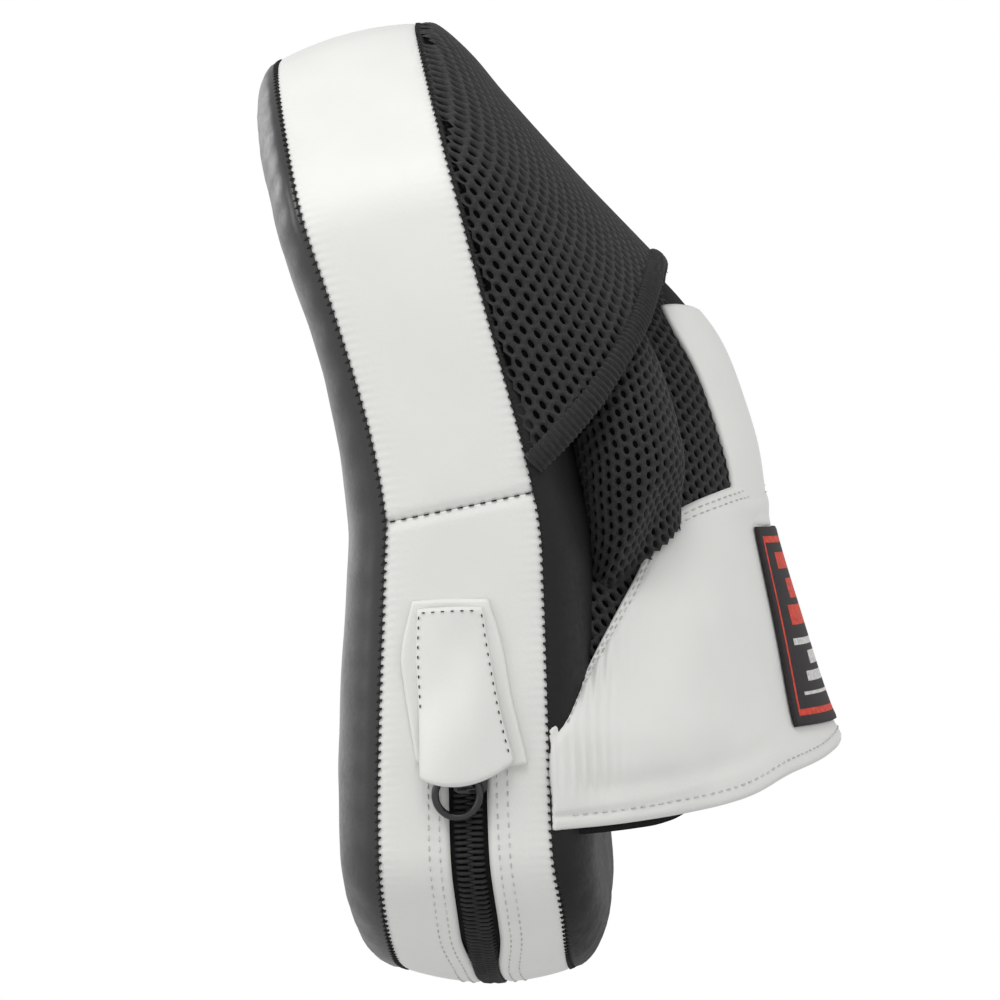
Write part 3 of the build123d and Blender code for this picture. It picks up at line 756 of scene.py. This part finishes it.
def net(name, shell, rows, pitch, keep, depth, lift=0.0, hole=0.62, **more):
    """Open air mesh: a lattice of round-cornered holes with walls, laid on a shell."""
    across, up = pitch
    widest = shell.half.max()
    column = np.arange(-int(widest / across) - 1, int(widest / across) + 2)
    row = np.arange(int(rows[0] / up) - 1, int(rows[1] / up) + 2)
    a = column[:, None] * across + 0 * row[None, :]
    z = (row[None, :] + 0.5 * (column[:, None] % 2)) * up
    centre = np.stack([a.ravel(), z.ravel()], axis=-1)
    centre = centre[(centre[:, 1] > rows[0]) & (centre[:, 1] < rows[1])]
    centre = centre[np.abs(centre[:, 0]) < shell.half_at(centre[:, 1]) - across * 0.2]
    centre = centre[keep(shell.at(centre[:, 1], centre[:, 0]))]
    turn = np.radians(np.arange(0, 360, 60))
    corner = np.stack([np.cos(turn) * across / 1.5, np.sin(turn) * up / math.sqrt(3)], axis=-1)
    outer = np.stack([corner, (corner + np.roll(corner, -1, axis=0)) / 2], axis=1).reshape(12, 2)
    fine = np.radians(np.arange(0, 360, 30))
    inner = np.stack([np.cos(fine) * across / 2 * 0.9, np.sin(fine) * up / 2 * 1.06], axis=-1) * hole
    levels = [(outer, lift + 0.1), (outer * 0.45 + inner * 0.55 * 1.15, lift),
              (inner, lift - 0.42 * depth), (inner * 0.95, lift - depth)]
    points = []
    for ring, height in levels:
        spot = centre[:, None, :] + ring
        points.append(shell.at(spot[..., 1], spot[..., 0], height))
    points = np.stack(points, axis=1)
    base = quads(len(levels), 12, around=True)
    faces = (base[None] + (np.arange(len(centre)) * len(levels) * 12)[:, None, None]).reshape(-1, 4)
    obj = piece(name, points.reshape(-1, 3), list(faces), MESH, merge=0.01, slot="mesh", **more)
    return obj, round(len(centre) * across * up / 1e6, 5)


def lining_sheet(name, shell, rows, reach, lift, tuck, replaces=(), columns=80, count=60, inside=MIDDLE):
    """Thin black sheet under the open mesh, which ends a little below the cuff's upper edge."""
    fraction = np.linspace(-1, 1, columns)[None, :]
    low = np.full((1, columns), float(rows[0]))
    for _ in range(12):
        edge = shell.at(low, fraction * reach(low), lift)
        low = (low + np.clip(CUFF_TOP(edge[..., 1]) - tuck, rows[0], rows[1] - 20)) / 2
    row = low + (rows[1] - low) * np.linspace(0, 1, count)[:, None]
    along = fraction * reach(row)
    points = shell.at(row, along, lift)
    obj = skin(name, points, 0.5, LINING, inside=inside, slot="lining", replaces=replaces)
    spans = np.linalg.norm(np.diff(points, axis=1), axis=-1).sum(axis=1)


PANEL_SIDE = Curve(PANEL_EDGE[::-1])


def panel_limit(z):
    """Y of the white hand-back panel's side edge at a height."""
    order = np.argsort(PANEL_SIDE.line[:, 1])
    return np.interp(z, PANEL_SIDE.line[order, 1], PANEL_SIDE.line[order, 0])


def glove_mesh():
    """Open mesh round the hand and thumb, with black lining under it."""
    def behind_cover(p):
        return p[..., 1] > np.interp(p[..., 2], REAR.line[:, 1], REAR.line[:, 0]) + 6

    def free(p):
        cuff = p[..., 2] > CUFF_TOP(p[..., 1]) - 4
        panel = p[..., 1] < panel_limit(p[..., 2]) + 3
        hood = hood_height(p) < 16
        return cuff & (panel | (p[..., 2] > PANEL_TOP + 12)) & hood & behind_cover(p)

    pitch = (2.8, 3.2)
    for node, side in (("mesh_thumb_side", 1), ("mesh_far_side", -1)):
        obj, area = net(f"glove_{node}", GLOVE_SHELL, (70, 212), pitch,
                        lambda p: free(p) & (p[..., 0] * side > 0), 1.0, lift=-1.2, replaces=(node,))
    lining_sheet("glove_lining", GLOVE_SHELL, (78, 214), lambda z: GLOVE_SHELL.half_at(z) * 0.985, -3.4, 9.0,
                 replaces=("fingertip_pocket",))

    def sleeve_free(p):
        return (hood_height(p) < 14) & behind_cover(p) & (p[..., 2] > CUFF_TOP(p[..., 1]) - 5)

    obj, area = net("thumb_sleeve_mesh", THUMB_SHELL, (94, 183), pitch, sleeve_free, 1.0,
                    replaces=("thumb_sleeve",))
    lining_sheet("thumb_sleeve_lining", THUMB_SHELL, (97, 183.5), THUMB_SHELL.half_at, -1.9, 6.0,
                 columns=60, count=40, inside=THUMB_MIDDLE)


def angle_grid(low, high, columns, rows, margin=0.0):
    """Grid on the glove between two edge heights given by Y, over the angles round it, and its heights."""
    angle = np.linspace(margin, math.pi - margin, columns)
    ends = []
    for edge in (low, high):
        below, above = np.full(columns, 40.0), np.full(columns, 150.0)
        for _ in range(40):
            middle = (below + above) / 2
            y = glove_point(middle, angle)[..., 1]
            under = middle < edge(y)
            below, above = np.where(under, middle, below), np.where(under, above, middle)
        ends.append((below + above) / 2)
    share = np.linspace(0, 1, rows)[:, None]
    z = ends[0] + (ends[1] - ends[0]) * share
    return glove_point(z, angle[None, :]), z


def cuff():
    """Padded white cuff with hems, top-stitching, puckers at its seams, and a black lining under it."""
    points, z = angle_grid(CUFF_BOTTOM, CUFF_TOP, 420, 56)
    normals = grid_normals(points)
    y = points[..., 1]
    low_edge = np.linalg.norm(np.diff(points, axis=0, prepend=points[:1]), axis=-1).cumsum(axis=0)
    high_edge = low_edge[-1:] - low_edge
    lift = 1.6 * (1 - np.exp(-high_edge / 5)) * (1 - np.exp(-low_edge / 5))
    lift = lift - 0.7 * np.exp(-((low_edge - 3.6) / 0.9) ** 2)
    lift = lift - 0.45 * np.exp(-((high_edge - 3.1) / 1.6) ** 2)
    lift = lift - 0.8 * np.exp(-((low_edge - 9.5) / 3.2) ** 2) * fade(y, 20, 34)
    lift = lift + wobble(points, 30, 11, 1.6) + wobble(points, 11, 12, 0.5)
    # Puckers where the cuff is gathered into the side seam.
    gather = np.exp(-((y - 25) / 7.5) ** 2) * fade(z, 52, 64)
    gather = gather * fade(high_edge, 1.5, 8) * fade(low_edge, 3, 12)
    lift = lift + gather * 0.55 * np.sin(y * 2.35 + 1.3 * np.sin(z * 0.11)) * (0.6 + 0.4 * np.sin(z * 0.23))
    # The label is sewn down flat, so the cuff has no dents under it.
    under_label = fade(np.abs(points[..., 0]), 54, 46) * fade(z, 64, 70) * fade(z, 132, 125)
    lift = lift + (0.9 - lift) * under_label
    points = points + normals * lift[..., None]
    obj = skin("cuff_shell", points, 2.2, WHITE, slot="white_leather", replaces=("cuff_panel", "cuff_foam"))
    rows = []
    for distance, source in ((2.1, high_edge), (3.9, high_edge), (3.6, low_edge)):
        line, out = [], []
        for column in range(8, points.shape[1] - 8):
            order = np.argsort(source[:, column])
            for found, grid in ((line, points), (out, normals)):
                found.append(read_at(distance, source[order, column], grid[order, column]))
        rows.append(stitch_row(np.array(line), np.array(out), 2.6, 0.6, 0.22))
    threads("cuff_stitches", np.vstack(rows), 0.22, GREY_THREAD, slot="white_leather")

    def lining_bottom(y):
        """The lining shows a little under the cuff's lower edge."""
        return CUFF_BOTTOM(y) - 1.6 * fade(y, 14, 26) * fade(y, 56, 42) + 3 * fade(y, 48, 60)

    lining, _ = angle_grid(lining_bottom, lambda y: CUFF_TOP(y) - 5, 240, 30, margin=0.02)
    lining = lining - grid_normals(lining) * 2.6
    obj = skin("cuff_lining_cloth", lining, 0.9, LINING, slot="lining", replaces=("cuff_lining",))


def hand_back():
    """White panel over the back of the hand, and the black lining that shows above it."""
    rows = np.linspace(124, PANEL_TOP, 60)
    reach = []
    for z in rows:
        angle = np.linspace(0.02, math.pi / 2, 400)
        y = glove_point(z, angle)[..., 1]
        reach.append(np.interp(panel_limit(z), y, angle))
    reach = np.array(reach)[:, None]
    share = np.linspace(0, 1, 120)[None, :]
    angle = reach + (math.pi - 2 * reach) * share
    points = glove_point(rows[:, None], angle)
    normals = grid_normals(points)
    edge = np.minimum(share, 1 - share) * 90
    lift = 1.3 * (1 - np.exp(-edge / 4)) + wobble(points, 26, 15, 0.9)
    points = points + normals * (lift - 0.3)[..., None]
    obj = skin("hand_back_shell", points, 2.4, WHITE, slot="white_leather",
               replaces=("hand_back_panel", "hand_back_foam"))
    rows = np.linspace(PANEL_TOP - 3, PANEL_TOP + 16, 24)[:, None]
    lining = glove_point(rows, np.linspace(0.35, math.pi - 0.35, 90)[None, :])
    lining = lining - grid_normals(lining) * 1.2
    obj = skin("finger_lining", lining, 0.8, LINING, slot="lining")


# Bars of the label: lowest and highest share of its height, half width, and material: 1 red, 2 pale.
LABEL_BARS = [(0.50, 0.60, 22, 1), (0.64, 0.74, 18, 1), (0.78, 0.86, 22, 1), (0.40, 0.43, 24, 2),
              (0.30, 0.36, 14, 2), (0.22, 0.27, 20, 2), (0.15, 0.17, 24, 2)]


def label():
    """Woven label on the cuff: black ground, thin red border and plain bars, with no lettering."""
    columns, rows = 72, 60
    along = np.linspace(-32, 32, columns + 1)[None, :]
    share = np.linspace(0, 1, rows + 1)[:, None]
    z = 71.5 + 52.5 * share + 0 * along
    points = GLOVE_SHELL.at(z, along * (1.3 - 0.35 * share), 2.2)
    obj = skin("woven_label", points, 0.9, [LABEL_BLACK, LABEL_RED, LABEL_PALE], slot="label",
               replaces=("label_patch",))
    a = np.abs(along[:, 1:] + along[:, :-1]) / 2
    v = (share[1:] + share[:-1]) / 2
    kinds = np.zeros((rows, columns), int)
    border = ((a > 28) & (a < 29.4) & (v > 0.055) & (v < 0.945))
    border |= ((np.abs(v - 0.07) < 0.013) | (np.abs(v - 0.93) < 0.013)) & (a < 29.4)
    kinds[border] = 1
    for low, high, reach, kind in LABEL_BARS:
        kinds[(v > low) & (v < high) & (a < reach)] = kind
    for face, kind in zip(obj.data.polygons, kinds.ravel()):
        face.material_index = int(kind)


# ---- finger hood

def hood():
    """Air-mesh hood over the fingers, its black lining and the overlocked binding on its edge."""
    obj, area = net("hood_mesh", HOOD_SHELL, (-12, 136), (2.75, 3.8), lambda p: hood_height(p) > 1.5, 1.1,
                    hole=0.6, replaces=("finger_hood",))
    fractions = np.linspace(-0.995, 0.995, 400)
    distance = np.linspace(-12, 120, 300)

    def at(row, fraction, lift=0.0):
        return HOOD_SHELL.at(row, fraction * HOOD_SHELL.half_at(row), lift)

    line = np.array([np.interp(BINDING * 0.45, hood_height(at(distance, fraction)), distance)
                     for fraction in fractions])
    centre = at(line, fractions)
    normal = at(line, fractions, 1.0) - centre
    row = line + (136 - line) * np.linspace(0, 1, 24)[:, None]
    lining = skin("hood_lining", at(row, fractions, -2.2), 0.5, LINING, slot="lining")
    overlock(centre, normal)


def overlock(centre, normal):
    """Overlocked edge: a flat tube of slanting thread ridges along the hood's opening."""
    steps, total = along_line(centre, 0.0)
    count = int(total / 0.26)
    distance = np.linspace(0, total, count)
    line, _ = along_line(centre, distance)
    out, _ = along_line(centre, distance, normal)
    out = unit(out)
    tangent = unit(np.gradient(line, axis=0))
    side = unit(np.cross(tangent, out))
    sides = 20
    angle = np.linspace(0, 2 * math.pi, sides, endpoint=False)[None, :]
    ridge = np.sin(2 * math.pi * distance[:, None] / 1.55 + 1.1 * np.cos(angle))
    thick = (BINDING / 2 + 0.18 * ridge) * (1 + 0.05 * np.sin(distance / 9.0)[:, None])
    high = 1.55 + 0.3 * ridge + 0.12 * np.sin(distance / 5.0)[:, None]
    points = line[:, None] + side[:, None] * (np.cos(angle) * thick)[..., None]
    points = points + out[:, None] * (np.sin(angle) * high)[..., None]
    faces = [*quads(count, sides, around=True)]
    faces += [list(range(sides)), [count * sides - 1 - k for k in range(sides)]]
    piece("hood_overlock", points.reshape(-1, 3), faces, OVERLOCK, slot="binding", replaces=("hood_binding",))


# ---- strap, grip and CAD hardware

def strap():
    """Strap end on the far side with hook tape under it, over loop tape on the cuff."""
    def patch(low, high, root, tip, lift, thickness, name, sewn_drop=0.0, count=(50, 26), **more):
        z = np.linspace(low, high, count[1])[:, None]
        share = np.linspace(0, 1, count[0])[None, :]
        corner = np.clip((share - 0.8) / 0.2, 0, 1) ** 2
        middle = (low + high) / 2
        z = middle + (z - middle) * (1 - 0.22 * corner)
        root_at, tip_at = root + 0 * z, tip + 0 * z
        drop = sewn_drop * np.exp(-share * (tip - root) / 4.0)
        points = GLOVE_SHELL.at(z, root_at + (tip_at - root_at) * share, lift - drop)
        return skin(name, points, thickness, **more), points

    loop, _ = patch(66, 108, 50, 94, 2.7, 0.9, "strap_loop_tape", material=TOUCH, slot="touch_tape",
                    replaces=("loop_tape",))
    hook, _ = patch(67, 107, 52, 92, 4.3, 0.8, "strap_hook_tape", material=TOUCH, slot="touch_tape",
                    replaces=("hook_tape",), body="strap_flap")
    end, grid = patch(62, 112, 43, 98, 5.9, 1.5, "strap_end_leather", sewn_drop=3.6, material=WHITE,
                      slot="white_leather", replaces=("strap_end",), body="strap_flap")
    normals = grid_normals(grid)
    rows = [stitch_row(grid[row, 3:-2], normals[row, 3:-2], 2.6, 0.6, 0.22) for row in (2, -3)]
    rows += [stitch_row(grid[2:-2, column], normals[2:-2, column], 2.6, 0.6, 0.22) for column in (4, -3)]
    threads("strap_stitches", np.vstack(rows), 0.22, GREY_THREAD, body="strap_flap", slot="white_leather")


def paint_cad():
    """Gives the CAD nodes that stay visible their own materials."""
    materials = {"slider_body": METAL, "slider_bail": METAL, "pull_ring": METAL, "palm_grip": GRIP}
    for node, material in materials.items():
        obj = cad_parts[node]
        for slot in obj.material_slots:
            slot.material = material
        if not obj.material_slots:
            obj.data.materials.append(material)


# ---- stage

CAMERA_DISTANCE = 1.1
FLOOR_RADIUS, FLOOR_HEIGHT = 2.2, -0.42
# Lights: name, location, target, diameter in metres and power in watts.
LIGHTS = [("key", (1.4, -0.7, 1.3), (0, 0, 0), 0.9, 1.2),
          ("top_near", (0.45, -0.05, 0.55), (0, 0, 0.05), 0.3, 1.6),
          ("back_fill", (0.6, 1.5, 0.9), (0, 0, 0), 0.8, 3.5),
          ("face_rim", (-1.1, -1.1, 0.5), (0, 0, -0.05), 0.8, 2.5),
          ("face_soft", (0.5, -1.3, 0.55), (0, 0, -0.05), 1.0, 6.5)]


def light(name, location, target, size, power):
    """Round soft light that the camera doesn't see."""
    data = bpy.data.lights.new(name, "AREA")
    data.shape = "DISK"
    data.size = size
    data.energy = power
    lamp = bpy.data.objects.new(name, data)
    lamp.location = location
    lamp.visible_camera = False
    lamp.rotation_euler = (Vector(target) - Vector(location)).to_track_quat("-Z", "Y").to_euler()
    bpy.context.scene.collection.objects.link(lamp)


def stage():
    """Camera at the product view, soft light, white surround and a pale floor well below."""
    scene = bpy.context.scene
    scene.view_settings.view_transform = "Standard"
    aim = Vector(place([0, 0, 131.5]))
    azimuth = math.radians(92.3)
    data = bpy.data.cameras.new("camera")
    data.lens = 145.2
    data.sensor_width = 36
    camera = bpy.data.objects.new("camera", data)
    camera.location = aim + CAMERA_DISTANCE * Vector((math.sin(azimuth), -math.cos(azimuth), 0))
    camera.rotation_euler = (aim - camera.location).to_track_quat("-Z", "Y").to_euler()
    scene.collection.objects.link(camera)
    scene.camera = camera
    world = bpy.data.worlds.new("white_surround")
    world.use_nodes = True
    tree = world.node_tree
    background = tree.nodes["Background"]
    where = tree.nodes.new("ShaderNodeTexCoord")
    split = tree.nodes.new("ShaderNodeSeparateXYZ")
    ramp = tree.nodes.new("ShaderNodeValToRGB")
    for element, at, color in zip(ramp.color_ramp.elements, (0.13, 0.3), ((1, 1, 1), (0.55, 0.55, 0.56))):
        element.position = at
        element.color = (*color, 1)
    height = tree.nodes.new("ShaderNodeMath")
    height.operation = "ABSOLUTE"
    tree.links.new(where.outputs["Generated"], split.inputs["Vector"])
    tree.links.new(split.outputs["Z"], height.inputs[0])
    tree.links.new(height.outputs["Value"], ramp.inputs["Fac"])
    tree.links.new(ramp.outputs["Color"], background.inputs["Color"])
    scene.world = world
    for values in LIGHTS:
        light(*values)
    mesh = bpy.data.meshes.new("floor")
    shape = bmesh.new()
    bmesh.ops.create_circle(shape, cap_ends=True, segments=96, radius=FLOOR_RADIUS)
    shape.to_mesh(mesh)
    shape.free()
    floor = bpy.data.objects.new("floor", mesh)
    floor.location = (0, 0, FLOOR_HEIGHT)
    material, _, _ = nodes_of("floor_paper", (0.8, 0.8, 0.8), 0.9)
    mesh.materials.append(material)
    scene.collection.objects.link(floor)


stage()
cover("front_cover_crown", -1, FRONT_CROWN, FRONT_RIM, FRONT_DOME, BLACK_FACE, "face_leather",
      ("front_cover", "gel_layer", "strike_foam"))
cover("back_cover_crown", 1, REAR_CROWN, REAR_RIM, REAR_DOME, BLACK_BACK, "back_leather",
      ("back_cover", "back_foam"))
side_band()
seam_bites()
zipper()
garage()
cross_stitches()
glove_mesh()
cuff()
hand_back()
label()
hood()
strap()
paint_cad()
